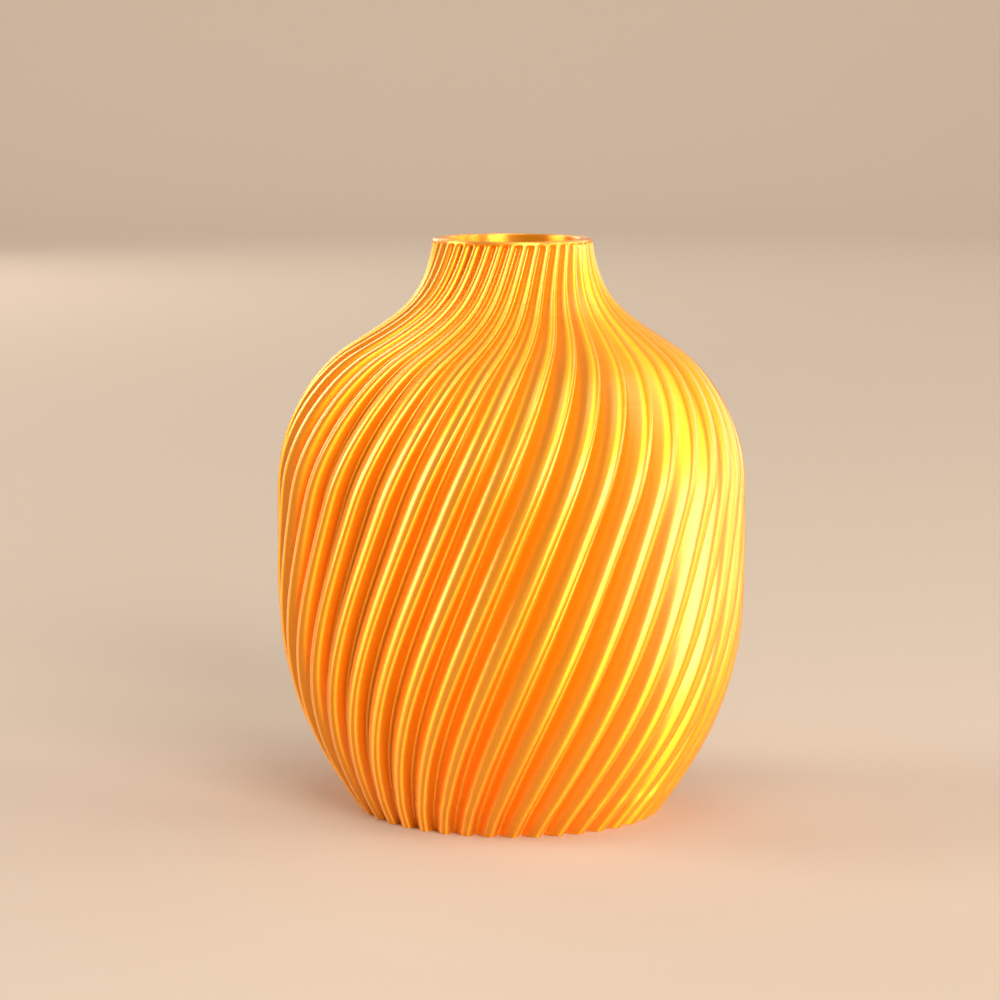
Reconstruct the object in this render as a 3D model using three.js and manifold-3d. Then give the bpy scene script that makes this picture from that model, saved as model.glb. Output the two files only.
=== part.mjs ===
// Spiral fluted vase, printed in one piece: flared foot, wide belly, narrow open neck.
// Millimetres, +Z up, origin at the centre of the foot.

import * as THREE from 'three';
import { mergeVertices } from 'three/addons/utils/BufferGeometryUtils.js';
import Module from 'manifold-3d';

// Overall sizes, measured over the crests of the ribs
const vaseHeight = 180;
const footRadius = 47.8;
const bellyRadius = 73.6;
const shoulderRadius = 51.9;
const lipRadius = 24.9;

// Where the side changes: the widest place, and the turn from bulging shoulder to hollow neck
const bellyHeight = 103;
const neckLength = 34;

// How far the side leans from upright, in degrees
const footLean = 36.9;
const shoulderLean = 57;
const lipLean = 8;

// How long each end of a curve keeps its direction, as a share of that curve's height
const footPull = 0.38;
const bellyPullBelow = 0.4;
const bellyPullAbove = 0.425;
const shoulderPullBelow = 0.17;
const shoulderPullAbove = 0.32;
const lipPull = 0.6;

// Ribs: narrow flat crests, a steep side to the right, a long side to the left that rounds over
const ribCount = 41;
const crestWidth = 1.4;
const fluteDepth = 5.4;        // at the belly; it shrinks with the radius
const creasePlace = 0.16;      // share of the gap between crests, from the crest on its left
const flankBend = 0.6;         // share of the flank that is flat before it rounds over to the crest

// Twist, in degrees for each millimetre along the side
const bodyTwist = 0.338;
const lipTwist = 0.669;
const twistRampLength = 46.3;  // height below the lip over which the twist quickens

// Lip, wall and floor
const lipHeight = 0.9;         // plain round band above the ends of the flutes
const fluteRunOut = 1.2;
const wallThickness = 2;       // behind the deepest line of a flute
const floorThickness = 10.4;
const floorFillet = 6;

// Fineness of the faceted solid
const wallRows = 24;
const boreSegments = 48;
const filletSegments = 3;
const mouthClearance = 5;      // how far the cutter stands out of the mouth
const weldDistance = 0.0001;

// The side of the vase as a curve of (radius, height)
function makeSide() {
  const shoulderHeight = vaseHeight - neckLength;
  const lowerRise = bellyHeight;
  const upperRise = shoulderHeight - bellyHeight;
  const slope = (degrees) => Math.tan(THREE.MathUtils.degToRad(degrees));

  const foot = new THREE.Vector2(footRadius, 0);
  const belly = new THREE.Vector2(bellyRadius, bellyHeight);
  const shoulder = new THREE.Vector2(shoulderRadius, shoulderHeight);
  const lip = new THREE.Vector2(lipRadius, vaseHeight);

  const from = (point, rise, outward) => {
    return new THREE.Vector2(point.x + rise * outward, point.y + rise);
  };

  const side = new THREE.CurvePath();
  side.add(new THREE.CubicBezierCurve(
    foot,
    from(foot, footPull * lowerRise, slope(footLean)),
    from(belly, -bellyPullBelow * lowerRise, 0),
    belly,
  ));
  side.add(new THREE.CubicBezierCurve(
    belly,
    from(belly, bellyPullAbove * upperRise, 0),
    from(shoulder, -shoulderPullBelow * upperRise, -slope(shoulderLean)),
    shoulder,
  ));
  side.add(new THREE.CubicBezierCurve(
    shoulder,
    from(shoulder, shoulderPullAbove * neckLength, -slope(shoulderLean)),
    from(lip, -lipPull * neckLength, -slope(lipLean)),
    lip,
  ));
  return side;
}

// Twist per millimetre at a height: steady on the body, quicker towards the lip
function twistRate(height) {
  const ramp = THREE.MathUtils.smoothstep(height, vaseHeight - twistRampLength, vaseHeight);
  return THREE.MathUtils.lerp(bodyTwist, lipTwist, ramp);
}

// Stations up the side: evenly spaced along it, then the run-out and the lip
function makeStations(side) {
  const length = side.getLength();
  const fluteEnd = length - lipHeight;
  const fluteFull = fluteEnd - fluteRunOut;

  const distances = [];
  for (let row = 0; row <= wallRows; row++) {
    distances.push(fluteFull * row / wallRows);
  }
  distances.push(fluteEnd, length);

  const stations = [];
  let turn = 0;
  let last = 0;
  for (const distance of distances) {
    const point = side.getPoint(distance / length);
    const middle = side.getPoint((last + distance) / 2 / length);
    turn += twistRate(middle.y) * (distance - last);
    last = distance;
    stations.push({
      radius: point.x,
      height: point.y,
      lean: side.getTangent(distance / length),
      turn: THREE.MathUtils.degToRad(turn),
      fluted: distance <= fluteFull,
    });
  }
  return stations;
}

function fluteDepthAt(radius) {
  return fluteDepth * radius / bellyRadius;
}

// Share of the flute's depth that is left at a place across the flank, 0 at the crease, 1 at the crest
function flankDrop(across) {
  const slope = 2 / (1 + flankBend);
  if (across < flankBend) {
    return 1 - slope * across;
  }
  return slope * (1 - across) ** 2 / (2 * (1 - flankBend));
}

// One level of the ribbed outside, anticlockwise seen from above
function ribbedRing(station) {
  const pitch = 2 * Math.PI / ribCount;
  const crest = crestWidth / station.radius;
  const gap = pitch - crest;
  const depth = station.fluted ? fluteDepthAt(station.radius) : 0;

  const ring = [];
  const add = (angle, inset) => {
    const radius = station.radius - inset;
    ring.push(new THREE.Vector3(radius * Math.cos(angle), radius * Math.sin(angle), station.height));
  };

  for (let rib = 0; rib < ribCount; rib++) {
    const crestEnd = station.turn + rib * pitch + crest / 2;
    add(crestEnd - crest, 0);
    add(crestEnd, 0);
    for (const across of [0, flankBend]) {
      const place = THREE.MathUtils.lerp(creasePlace, 1, across);
      add(crestEnd + gap * place, depth * flankDrop(across));
    }
  }
  return ring;
}

// A closed solid skinned over rings of equal point count, with a fan over each end
function loft(rings) {
  const count = rings[0].length;
  const positions = [];
  for (const ring of rings) {
    for (const point of ring) {
      positions.push(point.x, point.y, point.z);
    }
  }
  const bottomCentre = rings.length * count;
  const topCentre = bottomCentre + 1;
  positions.push(0, 0, rings[0][0].z);
  positions.push(0, 0, rings[rings.length - 1][0].z);

  const faces = [];
  for (let i = 0; i < count; i++) {
    const next = (i + 1) % count;
    faces.push(bottomCentre, next, i);
    for (let level = 0; level < rings.length - 1; level++) {
      const below = level * count;
      const above = below + count;
      faces.push(below + i, below + next, above + next);
      faces.push(below + i, above + next, above + i);
    }
    const top = (rings.length - 1) * count;
    faces.push(topCentre, top + i, top + next);
  }

  const geometry = new THREE.BufferGeometry();
  geometry.setAttribute('position', new THREE.Float32BufferAttribute(positions, 3));
  geometry.setIndex(faces);
  return geometry;
}

// The smooth round hollow: a rounded floor, a wall of even thickness, and the mouth
function makeHollow(stations) {
  const wall = [];
  for (const station of stations) {
    const uprightness = station.lean.y / station.lean.length();
    const thickness = wallThickness + fluteDepthAt(station.radius);
    const radius = station.radius - thickness / uprightness;
    if (station.height > floorThickness + floorFillet) {
      wall.push(new THREE.Vector2(radius, station.height));
    }
  }
  const slope = (wall[1].x - wall[0].x) / (wall[1].y - wall[0].y);
  const corner = wall[0].x - slope * (wall[0].y - floorThickness);
  const bore = wall[wall.length - 1].x;

  const outline = new THREE.Path();
  outline.moveTo(corner - floorFillet, floorThickness);
  outline.quadraticCurveTo(corner, floorThickness, wall[0].x, wall[0].y);
  const points = [new THREE.Vector2(0, floorThickness)];
  points.push(...outline.getPoints(filletSegments));
  points.push(...wall.slice(1));
  points.push(new THREE.Vector2(bore, vaseHeight + mouthClearance));
  points.push(new THREE.Vector2(0, vaseHeight + mouthClearance));

  const geometry = new THREE.LatheGeometry(points, boreSegments);
  geometry.rotateX(Math.PI / 2);
  return geometry;
}

const wasm = await Module();
wasm.setup();

function toSolid(geometry) {
  geometry.deleteAttribute('normal');
  geometry.deleteAttribute('uv');
  const merged = mergeVertices(geometry, weldDistance);
  return new wasm.Manifold(new wasm.Mesh({
    numProp: 3,
    vertProperties: new Float32Array(merged.attributes.position.array),
    triVerts: new Uint32Array(merged.index.array),
  }));
}

function toGeometry(solid) {
  const mesh = solid.getMesh();
  const geometry = new THREE.BufferGeometry();
  geometry.setAttribute('position', new THREE.BufferAttribute(mesh.vertProperties, 3));
  geometry.setIndex(new THREE.BufferAttribute(mesh.triVerts, 1));
  geometry.computeVertexNormals();
  return geometry;
}

const silkPla = new THREE.MeshStandardMaterial({
  color: 0xf5a81c,
  roughness: 0.35,
  metalness: 0.35,
});

function makeVaseBody() {
  const stations = makeStations(makeSide());
  const outside = toSolid(loft(stations.map(ribbedRing)));
  const hollow = toSolid(makeHollow(stations));
  const body = new THREE.Mesh(toGeometry(outside.subtract(hollow)), silkPla);
  body.name = 'vase_body';
  return body;
}

const vase = new THREE.Group();
vase.add(makeVaseBody());

export default vase;
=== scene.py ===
import math

import bpy
from mathutils import Euler, Matrix, Vector


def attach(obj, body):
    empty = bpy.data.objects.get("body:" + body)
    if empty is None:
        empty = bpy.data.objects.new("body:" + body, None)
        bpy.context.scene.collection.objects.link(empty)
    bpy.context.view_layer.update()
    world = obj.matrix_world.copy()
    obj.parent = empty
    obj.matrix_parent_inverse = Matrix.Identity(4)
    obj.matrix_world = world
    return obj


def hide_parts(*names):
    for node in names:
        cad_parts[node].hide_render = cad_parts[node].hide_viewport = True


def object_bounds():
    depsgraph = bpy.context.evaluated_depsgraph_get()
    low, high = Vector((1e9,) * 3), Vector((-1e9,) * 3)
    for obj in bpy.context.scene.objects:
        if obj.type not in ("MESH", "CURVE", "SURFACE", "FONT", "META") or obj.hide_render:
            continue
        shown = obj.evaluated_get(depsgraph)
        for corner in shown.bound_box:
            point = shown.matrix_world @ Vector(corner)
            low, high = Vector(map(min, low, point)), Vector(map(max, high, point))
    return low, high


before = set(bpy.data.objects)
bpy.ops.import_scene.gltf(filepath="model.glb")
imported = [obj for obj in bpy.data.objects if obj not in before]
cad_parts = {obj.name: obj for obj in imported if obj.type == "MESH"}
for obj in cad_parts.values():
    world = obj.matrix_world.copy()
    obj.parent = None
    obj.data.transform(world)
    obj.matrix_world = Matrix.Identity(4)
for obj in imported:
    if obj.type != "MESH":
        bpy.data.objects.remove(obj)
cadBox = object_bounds()  # lowest and highest corner of the vase in metres, before anything is added
vaseTop = cadBox[1][2]
print("vase loaded,", round(vaseTop * 1000, 1), "mm tall")

scene = bpy.context.scene
mm = 0.001


# an sRGB hex colour as linear red, green, blue and alpha
def linearColour(hexCode):
    channels = [int(hexCode[i:i + 2], 16) / 255 for i in (1, 3, 5)]
    return [c / 12.92 if c <= 0.04045 else ((c + 0.055) / 1.055) ** 2.4 for c in channels] + [1.0]


# adds one node with its settings, its fixed values and its links
def addNode(tree, kind, inputs=None, **settings):
    node = tree.nodes.new(kind)
    for name, value in settings.items():
        setattr(node, name, value)
    for socket, value in (inputs or {}).items():
        if isinstance(value, bpy.types.Node):
            value = next(s for s in value.outputs if s.enabled)
        if isinstance(value, bpy.types.NodeSocket):
            tree.links.new(value, node.inputs[socket])
        else:
            node.inputs[socket].default_value = value
    return node


# camera

cameraSetup = {
    "distance": 1.0728,   # metres in front of the vase's axis
    "height": 0.2437,
    "tilt": 82.24,        # degrees; 90 looks level
    "turn": 0.195,
    "roll": 0.2,
    "lens": 123.73,
    "sensor": 36.0,
}

cameraData = bpy.data.cameras.new("studioCamera")
cameraData.lens = cameraSetup["lens"]
cameraData.sensor_width = cameraSetup["sensor"]
cameraData.clip_start = 0.01
cameraData.clip_end = 100
camera = bpy.data.objects.new("studioCamera", cameraData)
cameraAim = Euler((math.radians(cameraSetup["tilt"]), 0, math.radians(cameraSetup["turn"])))
cameraRoll = Matrix.Rotation(math.radians(cameraSetup["roll"]), 4, "Z")
cameraPlace = Matrix.Translation((0, -cameraSetup["distance"], cameraSetup["height"]))
camera.matrix_world = cameraPlace @ cameraAim.to_matrix().to_4x4() @ cameraRoll
scene.collection.objects.link(camera)
scene.camera = camera
print("camera placed")


# silk PLA

silkPlaSetup = {
    "gold": "#FDAA12",
    "deepGold": "#FB9C0C",
    "metallic": 0.78,
    "roughness": 0.43,
    "roughnessSpread": 0.08,  # from one printed line to the next
    "coat": 0.8,             # the clear gloss that the plastic sets with
    "coatRoughness": 0.3,
    "coatIor": 1.5,
    "stretch": 0.95,         # the printed lines stretch each highlight up and down
    "layerHeight": 0.2,      # mm, one printed line
    "layersDrawn": 3,        # one line is too fine to show, so this many are drawn as one
    "layerDepth": 0.01,      # mm
    "layerStrength": 0.3,
    "lineBreakup": 14.0,     # mm, length over which a printed line changes tone
}


# Silk PLA, extruded in 0.2 mm lines by a desktop printer. The pearl pigment in it makes the
# surface shine like satin in its own gold, with a paler gloss over it, and light that bounces
# between the walls of a flute comes out deep orange.
def makeSilkPla(setup):
    material = bpy.data.materials.new("silkPla")
    material.use_nodes = True
    tree = material.node_tree
    tree.nodes.clear()

    place = addNode(tree, "ShaderNodeTexCoord").outputs["Object"]
    height = addNode(tree, "ShaderNodeSeparateXYZ", {0: place}).outputs["Z"]

    layerPitch = setup["layerHeight"] * setup["layersDrawn"] * mm
    layerTurn = addNode(tree, "ShaderNodeMath", {0: height, 1: 2 * math.pi / layerPitch},
                        operation="MULTIPLY")
    layerWave = addNode(tree, "ShaderNodeMath", {0: layerTurn}, operation="SINE")

    stretched = addNode(tree, "ShaderNodeMapping", {
        "Vector": place,
        "Scale": (1 / (setup["lineBreakup"] * mm), 1 / (setup["lineBreakup"] * mm), 1 / layerPitch),
    })
    lineTone = addNode(tree, "ShaderNodeTexNoise", {"Vector": stretched, "Scale": 1.0, "Detail": 2.0})
    colour = addNode(tree, "ShaderNodeMix", {
        0: lineTone.outputs[0],
        6: linearColour(setup["deepGold"]),
        7: linearColour(setup["gold"]),
    }, data_type="RGBA")

    lineRoughness = addNode(tree, "ShaderNodeMapRange", {
        "Value": lineTone.outputs[0],
        "To Min": setup["roughness"] - setup["roughnessSpread"] / 2,
        "To Max": setup["roughness"] + setup["roughnessSpread"] / 2,
    })

    bump = addNode(tree, "ShaderNodeBump", {
        "Strength": setup["layerStrength"],
        "Distance": setup["layerDepth"] * mm,
        "Height": layerWave,
    })
    upAcrossLines = addNode(tree, "ShaderNodeCombineXYZ", {"Z": 1.0})
    surface = addNode(tree, "ShaderNodeBsdfPrincipled", {
        "Base Color": colour.outputs[2],
        "Metallic": setup["metallic"],
        "Roughness": lineRoughness,
        "Coat Weight": setup["coat"],
        "Coat Roughness": setup["coatRoughness"],
        "Coat IOR": setup["coatIor"],
        "Anisotropic": setup["stretch"],
        "Normal": bump,
        "Tangent": upAcrossLines,
    })
    addNode(tree, "ShaderNodeOutputMaterial", {"Surface": surface})
    return material


silkPla = makeSilkPla(silkPlaSetup)
print("silk PLA mixed")


# vase: one printed shell, its ribs, its rolled lip and its hollow

vaseSetup = {
    "side": {                # mm, measured over the crests of the ribs
        "footRadius": 47.8,
        "bellyRadius": 73.6,
        "shoulderRadius": 51.9,
        "lipRadius": 24.9,
        "bellyHeight": 103.0,
        "neckLength": 34.0,
        "footLean": 36.9,    # degrees from upright
        "shoulderLean": 57.0,
        "lipLean": 8.0,
        "footPull": 0.38,    # how long each end of a curve keeps its direction
        "bellyPullBelow": 0.4,
        "bellyPullAbove": 0.425,
        "shoulderPullBelow": 0.17,
        "shoulderPullAbove": 0.32,
        "lipPull": 0.6,
    },
    "ribs": {                # inputs of the tree: mm, and degrees for the twist
        "Rib count": 41,
        "Crest width": 1.4,
        "Crest dip": 0.03,   # a fine groove along each crest
        "Crest round": 1.1,  # how far a crest has rolled over where its steep side starts
        "Flute depth": 5.4,
        "Belly radius": 73.6,
        "Crease place": 0.16,
        "Crease width": 0.5,
        "Crease height": 0.16,
        "Flank bend": 0.42,  # share of the flank that is flat before it starts to round over
        "Shoulder place": 0.92,  # share of it where the rounding is done
        "Shoulder slope": 0.14,  # left at the crest, of the flute's depth over the flank's width
        "Body twist": 0.338,
        "Lip twist": 0.669,
        "Twist ramp": 46.3,
    },
    "shell": {
        "Lip height": 0.9,
        "Run out": 1.2,
        "Lip round": 0.35,
        "Foot round": 0.3,
        "Wall": 2.0,
        "Floor": 10.4,
        "Floor fillet": 6.0,
        "Wall foot": 22.0,   # how far up the side the hollow's wall starts
        "Hull place": 12.6,  # how far up the side the solid floor ends, which shows as a fine step
        "Hull run": 0.5,
        "Hull step": 0.06,
        "Hull jog": 0.2,
    },
    "curveSteps": 400,       # points on the side curve that carry the twist
    "weld": 0.01,            # mm, points closer than this become one
    "columns": {"crest": 6, "steep": 4, "crease": 2, "flank": 12},
    "rows": {
        "under": 2, "footEdge": 2, "footSide": 4, "hull": 1, "side": 58, "runOut": 5,
        "band": 1, "lipOut": 3, "rim": 1, "lipIn": 3, "wall": 12, "fillet": 3, "floor": 2,
    },
}


# the side of the vase as a Bezier curve, radius along X and height along Z, in mm
def makeSideCurve(side, top):
    stub = 5  # mm, a handle past either end of the curve, which shapes nothing

    def handle(radius, height, rise, lean):
        return (radius + rise * math.tan(math.radians(lean)), 0, height + rise)

    shoulderHeight = top - side["neckLength"]
    lowerRise = side["bellyHeight"]
    upperRise = shoulderHeight - side["bellyHeight"]
    foot = (side["footRadius"], 0)
    belly = (side["bellyRadius"], side["bellyHeight"])
    shoulder = (side["shoulderRadius"], shoulderHeight)
    lip = (side["lipRadius"], top)
    corners = [
        (foot, handle(*foot, -stub, side["footLean"]),
         handle(*foot, side["footPull"] * lowerRise, side["footLean"])),
        (belly, handle(*belly, -side["bellyPullBelow"] * lowerRise, 0),
         handle(*belly, side["bellyPullAbove"] * upperRise, 0)),
        (shoulder, handle(*shoulder, -side["shoulderPullBelow"] * upperRise, -side["shoulderLean"]),
         handle(*shoulder, side["shoulderPullAbove"] * side["neckLength"], -side["shoulderLean"])),
        (lip, handle(*lip, -side["lipPull"] * side["neckLength"], -side["lipLean"]),
         handle(*lip, stub, -side["lipLean"])),
    ]
    curve = bpy.data.curves.new("vaseSide", "CURVE")
    curve.dimensions = "3D"
    curve.resolution_u = 64
    spline = curve.splines.new("BEZIER")
    spline.bezier_points.add(len(corners) - 1)
    for point, (corner, before, after) in zip(spline.bezier_points, corners):
        point.co = (corner[0], 0, corner[1])
        point.handle_left_type = "FREE"
        point.handle_right_type = "FREE"
        point.handle_left = before
        point.handle_right = after
    vaseSide = bpy.data.objects.new("vaseSide", curve)
    scene.collection.objects.link(vaseSide)
    return vaseSide


# Geometry Nodes tree that wraps a fluted, twisted wall round the side curve. A flat grid is laid
# out with one column of points for each step across the ribs and one row for each step from the
# middle of the underside, up the outside, over the lip and down the hollow to the floor.
def makeFlutedVaseTree(setup, material):
    tree = bpy.data.node_groups.new("flutedVase", "GeometryNodeTree")
    tree.interface.new_socket("Side", in_out="INPUT", socket_type="NodeSocketGeometry")
    for name, value in {**setup["ribs"], **setup["shell"], "Height": vaseTop / mm}.items():
        kind = "NodeSocketInt" if isinstance(value, int) else "NodeSocketFloat"
        tree.interface.new_socket(name, in_out="INPUT", socket_type=kind)
    tree.interface.new_socket("Vase", in_out="OUTPUT", socket_type="NodeSocketGeometry")
    given = addNode(tree, "NodeGroupInput").outputs

    # the twist adds up along the side: steady on the body, quicker towards the lip
    fine = addNode(tree, "GeometryNodeResampleCurve", {"Curve": given["Side"], "Count": setup["curveSteps"]})
    spot = addNode(tree, "GeometryNodeInputPosition")
    spotHeight = addNode(tree, "ShaderNodeSeparateXYZ", {0: spot}).outputs["Z"]
    rampStart = addNode(tree, "ShaderNodeMath", {0: given["Height"], 1: given["Twist ramp"]},
                        operation="SUBTRACT")
    rate = addNode(tree, "ShaderNodeMapRange", {
        "Value": spotHeight,
        "From Min": rampStart,
        "From Max": given["Height"],
        "To Min": given["Body twist"],
        "To Max": given["Lip twist"],
    }, interpolation_type="SMOOTHSTEP")
    index = addNode(tree, "GeometryNodeInputIndex")
    before = addNode(tree, "ShaderNodeMath", {0: index, 1: 1.0}, operation="SUBTRACT")
    before = addNode(tree, "ShaderNodeMath", {0: before, 1: 0.0}, operation="MAXIMUM")
    spotBefore = addNode(tree, "GeometryNodeFieldAtIndex", {"Value": spot, "Index": before},
                         data_type="FLOAT_VECTOR")
    step = addNode(tree, "ShaderNodeVectorMath", {0: spot, 1: spotBefore},
                   operation="DISTANCE").outputs["Value"]
    stepTurn = addNode(tree, "ShaderNodeMath", {0: step, 1: rate}, operation="MULTIPLY")
    turnSoFar = addNode(tree, "GeometryNodeAccumulateField", {"Value": stepTurn}).outputs["Leading"]
    turned = addNode(tree, "GeometryNodeStoreNamedAttribute", {
        "Geometry": fine,
        "Name": "turn",
        "Value": turnSoFar,
    })

    # the grid, and how far each point is through every run of columns and of rows
    ribColumns = sum(setup["columns"].values())
    rowCount = sum(setup["rows"].values())
    columnCount = addNode(tree, "ShaderNodeMath", {0: given["Rib count"], 1: ribColumns},
                          operation="MULTIPLY")
    columnPoints = addNode(tree, "ShaderNodeMath", {0: columnCount, 1: 1.0}, operation="ADD")
    grid = addNode(tree, "GeometryNodeMeshGrid", {
        "Size X": columnCount,
        "Size Y": float(rowCount),
        "Vertices X": columnPoints,
        "Vertices Y": rowCount + 1,
    })
    flat = addNode(tree, "ShaderNodeSeparateXYZ", {0: addNode(tree, "GeometryNodeInputPosition")})
    halfColumns = addNode(tree, "ShaderNodeMath", {0: columnCount, 1: 0.5}, operation="MULTIPLY")
    column = addNode(tree, "ShaderNodeMath", {0: flat.outputs["X"], 1: halfColumns}, operation="ADD")
    column = addNode(tree, "ShaderNodeMath", {0: column}, operation="ROUND")
    row = addNode(tree, "ShaderNodeMath", {0: flat.outputs["Y"], 1: rowCount / 2}, operation="ADD")
    rib = addNode(tree, "ShaderNodeMath", {0: column, 1: float(ribColumns)}, operation="DIVIDE")
    rib = addNode(tree, "ShaderNodeMath", {0: rib}, operation="FLOOR")
    ribStart = addNode(tree, "ShaderNodeMath", {0: rib, 1: float(ribColumns)}, operation="MULTIPLY")
    inRib = addNode(tree, "ShaderNodeMath", {0: column, 1: ribStart}, operation="SUBTRACT")

    through = {}
    for counter, runs in ((inRib, setup["columns"]), (row, setup["rows"])):
        reached = 0
        for name, count in runs.items():
            through[name] = addNode(tree, "ShaderNodeMapRange", {
                "Value": counter,
                "From Min": float(reached),
                "From Max": float(reached + count),
            })
            reached += count

    # the point on the side that each row belongs to: up the outside, then back down inside
    sideLength = addNode(tree, "GeometryNodeCurveLength", {0: turned})
    plainStart = addNode(tree, "ShaderNodeMath", {0: given["Lip height"], 1: given["Run out"]},
                         operation="ADD")
    fluteTop = addNode(tree, "ShaderNodeMath", {0: sideLength, 1: plainStart}, operation="SUBTRACT")
    hullEnd = addNode(tree, "ShaderNodeMath", {0: given["Hull place"], 1: given["Hull run"]}, operation="ADD")
    bandEnd = addNode(tree, "ShaderNodeMath", {0: given["Lip height"], 1: given["Lip round"]},
                      operation="SUBTRACT")
    lipEnd = addNode(tree, "ShaderNodeMath", {0: sideLength, 1: given["Lip round"]}, operation="SUBTRACT")
    goals = [
        ("footSide", given["Foot round"], given["Hull place"]),
        ("hull", given["Hull place"], hullEnd),
        ("side", hullEnd, fluteTop),
    ]
    along = given["Foot round"]
    for name, start, end in goals:
        run = addNode(tree, "ShaderNodeMath", {0: end, 1: start}, operation="SUBTRACT")
        along = addNode(tree, "ShaderNodeMath", {0: through[name], 1: run, 2: along},
                        operation="MULTIPLY_ADD")
    along = addNode(tree, "ShaderNodeMath", {0: through["runOut"], 1: given["Run out"], 2: along},
                    operation="MULTIPLY_ADD")
    along = addNode(tree, "ShaderNodeMath", {0: through["band"], 1: bandEnd, 2: along},
                    operation="MULTIPLY_ADD")
    wallRun = addNode(tree, "ShaderNodeMath", {0: given["Wall foot"], 1: lipEnd}, operation="SUBTRACT")
    along = addNode(tree, "ShaderNodeMath", {0: through["wall"], 1: wallRun, 2: along},
                    operation="MULTIPLY_ADD")
    sample = addNode(tree, "GeometryNodeSampleCurve", {
        "Curves": turned,
        "Value": addNode(tree, "GeometryNodeInputNamedAttribute", {"Name": "turn"}).outputs[0],
        "Length": along,
    }, mode="LENGTH").outputs
    sidePoint = addNode(tree, "ShaderNodeSeparateXYZ", {0: sample["Position"]})
    sideRadius = sidePoint.outputs["X"]
    sideHeight = sidePoint.outputs["Z"]
    upright = addNode(tree, "ShaderNodeSeparateXYZ", {0: sample["Tangent"]}).outputs["Z"]

    # across a rib: the rolled crest, the steep side, the bead in the crease, then the flank, which
    # is flat at first and rounds over to the next crest
    radiusShare = addNode(tree, "ShaderNodeMath", {0: sideRadius, 1: given["Belly radius"]},
                          operation="DIVIDE")
    depth = addNode(tree, "ShaderNodeMath", {0: given["Flute depth"], 1: radiusShare}, operation="MULTIPLY")
    steepDrop = addNode(tree, "ShaderNodeMapRange", {"Value": through["steep"]})
    shoulderRun = addNode(tree, "ShaderNodeMath", {0: given["Shoulder place"], 1: given["Flank bend"]},
                          operation="SUBTRACT")
    shoulderHalf = addNode(tree, "ShaderNodeMath", {0: shoulderRun, 1: 0.5}, operation="MULTIPLY")
    flatReach = addNode(tree, "ShaderNodeMath", {0: given["Flank bend"], 1: shoulderHalf}, operation="ADD")
    flatLeft = addNode(tree, "ShaderNodeMath", {0: 1.0, 1: flatReach}, operation="SUBTRACT")
    shoulderFall = addNode(tree, "ShaderNodeMath", {0: flatLeft, 1: given["Shoulder slope"]},
                           operation="MULTIPLY")
    flankFall = addNode(tree, "ShaderNodeMath", {0: 1.0, 1: shoulderFall}, operation="SUBTRACT")
    flankSlope = addNode(tree, "ShaderNodeMath", {0: flankFall, 1: flatReach}, operation="DIVIDE")
    easing = addNode(tree, "ShaderNodeMath", {0: given["Shoulder slope"], 1: flankSlope},
                     operation="SUBTRACT")
    bend = addNode(tree, "ShaderNodeMapRange", {
        "Value": through["flank"],
        "From Min": given["Flank bend"],
        "From Max": given["Shoulder place"],
    })
    past = addNode(tree, "ShaderNodeMath", {0: through["flank"], 1: given["Shoulder place"]},
                   operation="SUBTRACT")
    past = addNode(tree, "ShaderNodeMath", {0: past, 1: 0.0}, operation="MAXIMUM")
    bendArea = addNode(tree, "ShaderNodeMath", {0: bend, 1: bend}, operation="MULTIPLY")
    bendArea = addNode(tree, "ShaderNodeMath", {0: bendArea, 1: shoulderHalf, 2: past},
                       operation="MULTIPLY_ADD")
    eased = addNode(tree, "ShaderNodeMath", {0: bendArea, 1: easing}, operation="MULTIPLY")
    fallen = addNode(tree, "ShaderNodeMath", {0: through["flank"], 1: flankSlope, 2: eased},
                     operation="MULTIPLY_ADD")
    flankDrop = addNode(tree, "ShaderNodeMath", {0: 1.0, 1: fallen}, operation="SUBTRACT")
    drop = addNode(tree, "ShaderNodeMath", {0: steepDrop, 1: flankDrop}, operation="MULTIPLY")
    fluteInset = addNode(tree, "ShaderNodeMath", {0: drop, 1: depth}, operation="MULTIPLY")
    crestTurn = addNode(tree, "ShaderNodeMath", {0: through["crest"], 1: 2 * math.pi}, operation="MULTIPLY")
    crestWave = addNode(tree, "ShaderNodeMath", {0: crestTurn}, operation="SINE")
    crestWave = addNode(tree, "ShaderNodeMath", {0: crestWave}, operation="ABSOLUTE")
    crestGap = addNode(tree, "ShaderNodeMath", {0: 1.0, 1: crestWave}, operation="SUBTRACT")
    onCrest = addNode(tree, "ShaderNodeMath", {0: 1.0, 1: steepDrop}, operation="SUBTRACT")
    crestGap = addNode(tree, "ShaderNodeMath", {0: crestGap, 1: onCrest}, operation="MULTIPLY")
    crestInset = addNode(tree, "ShaderNodeMath", {0: crestGap, 1: given["Crest dip"], 2: fluteInset},
                         operation="MULTIPLY_ADD")
    rolled = addNode(tree, "ShaderNodeMath", {0: through["crest"], 1: 2.0}, operation="POWER")
    rolled = addNode(tree, "ShaderNodeMath", {0: rolled, 1: onCrest}, operation="MULTIPLY")
    crestInset = addNode(tree, "ShaderNodeMath", {0: rolled, 1: given["Crest round"], 2: crestInset},
                         operation="MULTIPLY_ADD")
    beadTurn = addNode(tree, "ShaderNodeMath", {0: through["crease"], 1: math.pi}, operation="MULTIPLY")
    bead = addNode(tree, "ShaderNodeMath", {0: beadTurn}, operation="SINE")
    beadRise = addNode(tree, "ShaderNodeMath", {0: bead, 1: given["Crease height"]}, operation="MULTIPLY")
    ribInset = addNode(tree, "ShaderNodeMath", {0: crestInset, 1: beadRise}, operation="SUBTRACT")

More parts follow.
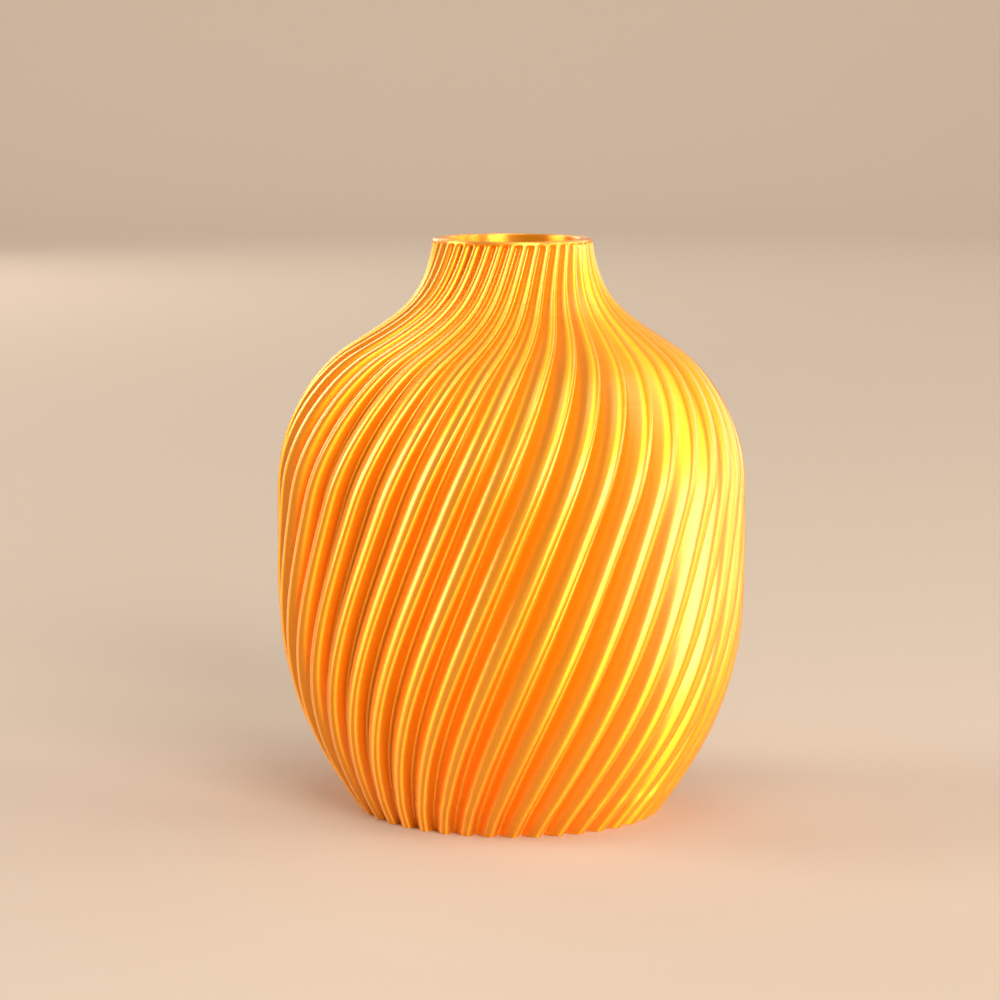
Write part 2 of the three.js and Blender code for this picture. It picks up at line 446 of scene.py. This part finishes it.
    # the flutes end in a rounded scoop just under the lip
    scoop = addNode(tree, "ShaderNodeMath", {0: through["runOut"], 1: 2.0}, operation="POWER")
    scoop = addNode(tree, "ShaderNodeMath", {0: 1.0, 1: scoop}, operation="SUBTRACT")
    scoop = addNode(tree, "ShaderNodeMath", {0: scoop}, operation="SQRT")
    ribInset = addNode(tree, "ShaderNodeMath", {0: ribInset, 1: scoop}, operation="MULTIPLY")

    # round the foot and the lip, step in from the lip to the hollow, round the floor
    quarter = math.pi / 2
    footTurn = addNode(tree, "ShaderNodeMath", {0: through["footEdge"], 1: quarter}, operation="MULTIPLY")
    footSine = addNode(tree, "ShaderNodeMath", {0: footTurn}, operation="SINE")
    footBack = addNode(tree, "ShaderNodeMath", {0: 1.0, 1: footSine}, operation="SUBTRACT")
    inset = addNode(tree, "ShaderNodeMath", {0: footBack, 1: given["Foot round"], 2: ribInset},
                    operation="MULTIPLY_ADD")

    lipSteps = addNode(tree, "ShaderNodeMath", {0: through["lipOut"], 1: through["lipIn"]}, operation="ADD")
    lipTurn = addNode(tree, "ShaderNodeMath", {0: lipSteps, 1: quarter}, operation="MULTIPLY")
    lipCosine = addNode(tree, "ShaderNodeMath", {0: lipTurn}, operation="COSINE")
    lipBack = addNode(tree, "ShaderNodeMath", {0: 1.0, 1: lipCosine}, operation="SUBTRACT")
    inset = addNode(tree, "ShaderNodeMath", {0: lipBack, 1: given["Lip round"], 2: inset},
                    operation="MULTIPLY_ADD")
    thickness = addNode(tree, "ShaderNodeMath", {0: given["Wall"], 1: depth}, operation="ADD")
    thickness = addNode(tree, "ShaderNodeMath", {0: thickness, 1: upright}, operation="DIVIDE")
    rimFlat = addNode(tree, "ShaderNodeMath", {0: given["Lip round"], 1: -2.0, 2: thickness},
                      operation="MULTIPLY_ADD")
    inset = addNode(tree, "ShaderNodeMath", {0: through["rim"], 1: rimFlat, 2: inset},
                    operation="MULTIPLY_ADD")

    filletTurn = addNode(tree, "ShaderNodeMath", {0: through["fillet"], 1: quarter}, operation="MULTIPLY")
    filletCosine = addNode(tree, "ShaderNodeMath", {0: filletTurn}, operation="COSINE")
    filletBack = addNode(tree, "ShaderNodeMath", {0: 1.0, 1: filletCosine}, operation="SUBTRACT")
    inset = addNode(tree, "ShaderNodeMath", {0: filletBack, 1: given["Floor fillet"], 2: inset},
                    operation="MULTIPLY_ADD")
    inset = addNode(tree, "ShaderNodeMath", {0: through["hull"], 1: given["Hull step"], 2: inset},
                    operation="MULTIPLY_ADD")

    radius = addNode(tree, "ShaderNodeMath", {0: sideRadius, 1: inset}, operation="SUBTRACT")
    radius = addNode(tree, "ShaderNodeMath", {0: radius, 1: through["under"]}, operation="MULTIPLY")
    floorLeft = addNode(tree, "ShaderNodeMath", {0: 1.0, 1: through["floor"]}, operation="SUBTRACT")
    radius = addNode(tree, "ShaderNodeMath", {0: radius, 1: floorLeft}, operation="MULTIPLY")

    footCosine = addNode(tree, "ShaderNodeMath", {0: footTurn}, operation="COSINE")
    footRise = addNode(tree, "ShaderNodeMath", {0: 1.0, 1: footCosine}, operation="SUBTRACT")
    height = addNode(tree, "ShaderNodeMath", {0: sideHeight, 1: footRise}, operation="MULTIPLY")
    lipSine = addNode(tree, "ShaderNodeMath", {0: lipTurn}, operation="SINE")
    height = addNode(tree, "ShaderNodeMath", {0: lipSine, 1: given["Lip round"], 2: height},
                     operation="MULTIPLY_ADD")
    filletSine = addNode(tree, "ShaderNodeMath", {0: filletTurn}, operation="SINE")
    toFloor = addNode(tree, "ShaderNodeMath", {0: given["Floor"], 1: sideHeight}, operation="SUBTRACT")
    height = addNode(tree, "ShaderNodeMath", {0: filletSine, 1: toFloor, 2: height}, operation="MULTIPLY_ADD")

    # the angle: whole ribs, the place across this rib, and the twist up to here
    pitch = addNode(tree, "ShaderNodeMath", {0: 2 * math.pi, 1: given["Rib count"]}, operation="DIVIDE")
    pitchWidth = addNode(tree, "ShaderNodeMath", {0: pitch, 1: sideRadius}, operation="MULTIPLY")
    gapWidth = addNode(tree, "ShaderNodeMath", {0: pitchWidth, 1: given["Crest width"]}, operation="SUBTRACT")
    creaseMiddle = addNode(tree, "ShaderNodeMath", {0: gapWidth, 1: given["Crease place"]},
                           operation="MULTIPLY")
    creaseWidth = addNode(tree, "ShaderNodeMath", {0: given["Crease width"], 1: radiusShare},
                          operation="MULTIPLY")
    steepWidth = addNode(tree, "ShaderNodeMath", {0: creaseWidth, 1: -0.5, 2: creaseMiddle},
                         operation="MULTIPLY_ADD")
    flankStart = addNode(tree, "ShaderNodeMath", {0: creaseWidth, 1: 0.5, 2: creaseMiddle},
                         operation="MULTIPLY_ADD")
    flankWidth = addNode(tree, "ShaderNodeMath", {0: gapWidth, 1: flankStart}, operation="SUBTRACT")
    across = addNode(tree, "ShaderNodeMath", {0: given["Crest width"], 1: -0.5}, operation="MULTIPLY")
    for name, width in (("crest", given["Crest width"]), ("steep", steepWidth),
                        ("crease", creaseWidth), ("flank", flankWidth)):
        across = addNode(tree, "ShaderNodeMath", {0: through[name], 1: width, 2: across},
                         operation="MULTIPLY_ADD")
    hullJog = addNode(tree, "ShaderNodeMath", {0: through["hull"], 1: 1.0}, operation="SUBTRACT")
    across = addNode(tree, "ShaderNodeMath", {0: hullJog, 1: given["Hull jog"], 2: across},
                     operation="MULTIPLY_ADD")
    acrossTurn = addNode(tree, "ShaderNodeMath", {0: across, 1: sideRadius}, operation="DIVIDE")
    ribTurn = addNode(tree, "ShaderNodeMath", {0: rib, 1: pitch, 2: acrossTurn}, operation="MULTIPLY_ADD")
    twist = addNode(tree, "ShaderNodeMath", {0: sample["Value"]}, operation="RADIANS")
    angle = addNode(tree, "ShaderNodeMath", {0: ribTurn, 1: twist}, operation="ADD")
    cosine = addNode(tree, "ShaderNodeMath", {0: angle}, operation="COSINE")
    sine = addNode(tree, "ShaderNodeMath", {0: angle}, operation="SINE")
    x = addNode(tree, "ShaderNodeMath", {0: radius, 1: cosine}, operation="MULTIPLY")
    y = addNode(tree, "ShaderNodeMath", {0: radius, 1: sine}, operation="MULTIPLY")
    wrapped = addNode(tree, "GeometryNodeSetPosition", {
        "Geometry": grid.outputs["Mesh"],
        "Position": addNode(tree, "ShaderNodeCombineXYZ", {0: x, 1: y, 2: height}),
    })

    # close the seam and both middles, turn mm into metres, and finish
    closed = addNode(tree, "GeometryNodeMergeByDistance", {"Geometry": wrapped, "Distance": setup["weld"]})
    smooth = addNode(tree, "GeometryNodeSetShadeSmooth", {"Geometry": closed})
    sized = addNode(tree, "GeometryNodeTransform", {"Geometry": smooth, "Scale": (mm, mm, mm)})
    real = addNode(tree, "GeometryNodeRealizeInstances", {"Geometry": sized})
    coated = addNode(tree, "GeometryNodeSetMaterial", {"Geometry": real, "Material": material})
    addNode(tree, "NodeGroupOutput", {0: coated})
    return tree


def makeVase(setup, material):
    top = round(vaseTop / mm, 3)
    vaseSide = makeSideCurve(setup["side"], top)
    tree = makeFlutedVaseTree(setup, material)
    modifier = vaseSide.modifiers.new("flutedVase", "NODES")
    modifier.node_group = tree
    sizes = {**setup["ribs"], **setup["shell"], "Height": top}
    for item in tree.interface.items_tree:
        if item.in_out == "INPUT" and item.name in sizes:
            modifier[item.identifier] = sizes[item.name]

    bpy.context.view_layer.update()
    evaluated = vaseSide.evaluated_get(bpy.context.evaluated_depsgraph_get())
    mesh = bpy.data.meshes.new_from_object(evaluated)
    mesh.name = "vaseShell"
    vaseSide.modifiers.remove(modifier)
    bpy.data.objects.remove(vaseSide)
    shell = bpy.data.objects.new("vaseShell", mesh)
    scene.collection.objects.link(shell)
    return shell


vaseShell = makeVase(vaseSetup, silkPla)
vaseShell.data.calc_loop_triangles()
print("vase made:", len(vaseShell.data.vertices), "points,", len(vaseShell.data.loop_triangles), "triangles")
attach(vaseShell, "root")
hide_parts("vase_body")


# studio: one pale round sweep for the floor and the background, and soft lights

studioSetup = {
    "floorRadius": 3.2,      # metres
    "sweepRadius": 1.6,
    "sweepSteps": 16,
    "wallHeight": 1.7,
    "sides": 96,
    "paper": "#B4A79A",
    "backdropPast": 0.6,     # the backdrop's light aims this far past the edge of the flat floor
    "backdropHeight": 0.2,
    "lamp": "#FFF6EA",
    "air": "#F2E6DA",
    "airStrength": 0.5,
}


# matt paper, unrolled from a wide roll: even and pale, with hardly any shine
def makeStudioPaper(setup):
    material = bpy.data.materials.new("studioPaper")
    material.use_nodes = True
    tree = material.node_tree
    tree.nodes.clear()
    surface = addNode(tree, "ShaderNodeBsdfPrincipled", {
        "Base Color": linearColour(setup["paper"]),
        "Roughness": 0.9,
        "Specular IOR Level": 0.2,
    })
    addNode(tree, "ShaderNodeOutputMaterial", {"Surface": surface})
    return material


# flat floor that curves up into a low wall all the way round
def makeStudioSweep(setup, material):
    outline = [(0.0, 0.0), (setup["floorRadius"], 0.0)]
    for step in range(1, setup["sweepSteps"] + 1):
        turn = math.radians(90 * step / setup["sweepSteps"])
        outline.append((
            setup["floorRadius"] + setup["sweepRadius"] * math.sin(turn),
            setup["sweepRadius"] * (1 - math.cos(turn)),
        ))
    outline.append((outline[-1][0], setup["wallHeight"]))
    sides = setup["sides"]
    points = [(0.0, 0.0, 0.0)]
    faces = []
    for radius, height in outline[1:]:
        for side in range(sides):
            turn = 2 * math.pi * side / sides
            points.append((radius * math.cos(turn), radius * math.sin(turn), height))
    for side in range(sides):
        following = (side + 1) % sides
        faces.append((0, 1 + side, 1 + following))
        for level in range(len(outline) - 2):
            low = 1 + level * sides
            high = low + sides
            faces.append((low + side, high + side, high + following, low + following))
    mesh = bpy.data.meshes.new("studioSweep")
    mesh.from_pydata(points, [], faces)
    for face in mesh.polygons:
        face.use_smooth = True
    mesh.materials.append(material)
    sweep = bpy.data.objects.new("studioSweep", mesh)
    scene.collection.objects.link(sweep)
    return sweep


studioSweep = makeStudioSweep(studioSetup, makeStudioPaper(studioSetup))

world = bpy.data.worlds.new("studioAir")
world.use_nodes = True
world.node_tree.nodes.clear()
air = addNode(world.node_tree, "ShaderNodeBackground", {
    "Color": linearColour(studioSetup["air"]),
    "Strength": studioSetup["airStrength"],
})
addNode(world.node_tree, "ShaderNodeOutputWorld", {"Surface": air})
scene.world = world

# where each light stands: degrees round its target from the camera's side, right positive, and up
# from level; distances and sizes are in metres, powers in watts
lightSetup = {
    "window": {"around": 24, "up": 17, "distance": 2.6, "width": 1.35, "tall": 1.4, "power": 92},
    "windowEdge": {"around": 68, "up": 17, "distance": 2.6, "width": 0.95, "tall": 1.4, "power": 32},
    "sideRight": {"around": 95, "up": 17, "distance": 2.6, "width": 0.8, "tall": 1.4, "power": 23},
    "backRight": {"around": 125, "up": 17, "distance": 2.6, "width": 1.3, "tall": 1.4, "power": 18},
    "backLeft": {"around": -150, "up": 17, "distance": 2.6, "width": 1.3, "tall": 1.4, "power": 18},
    "sideLeft": {"around": -92, "up": 17, "distance": 2.6, "width": 1.3, "tall": 1.4, "power": 56},
    "overhead": {"around": 0, "up": 70, "distance": 1.6, "width": 0.8, "tall": 0.8, "power": 7},
}

backdropLight = {"around": 0, "up": 60, "distance": 2.0, "width": 3.0, "tall": 1.0, "power": 34}


def addSoftLight(name, setup, target):
    light = bpy.data.lights.new(name, "AREA")
    light.shape = "RECTANGLE"
    light.size = setup["width"]
    light.size_y = setup["tall"]
    light.energy = setup["power"]
    light.color = linearColour(studioSetup["lamp"])[:3]
    around = math.radians(setup["around"])
    up = math.radians(setup["up"])
    outward = Vector((math.sin(around) * math.cos(up), -math.cos(around) * math.cos(up), math.sin(up)))
    lamp = bpy.data.objects.new(name, light)
    lamp.location = target + outward * setup["distance"]
    lamp.rotation_euler = outward.to_track_quat("Z", "Y").to_euler()
    scene.collection.objects.link(lamp)
    return lamp


vaseMiddle = Vector((0, 0, vaseTop / 2))
for lightName, light in lightSetup.items():
    addSoftLight(lightName, light, vaseMiddle)
sweepFoot = Vector((
    0,
    studioSetup["floorRadius"] + studioSetup["backdropPast"],
    studioSetup["backdropHeight"],
))
addSoftLight("backdrop", backdropLight, sweepFoot)
scene.view_settings.view_transform = "Standard"
print("studio lit")

bpy.context.view_layer.update()
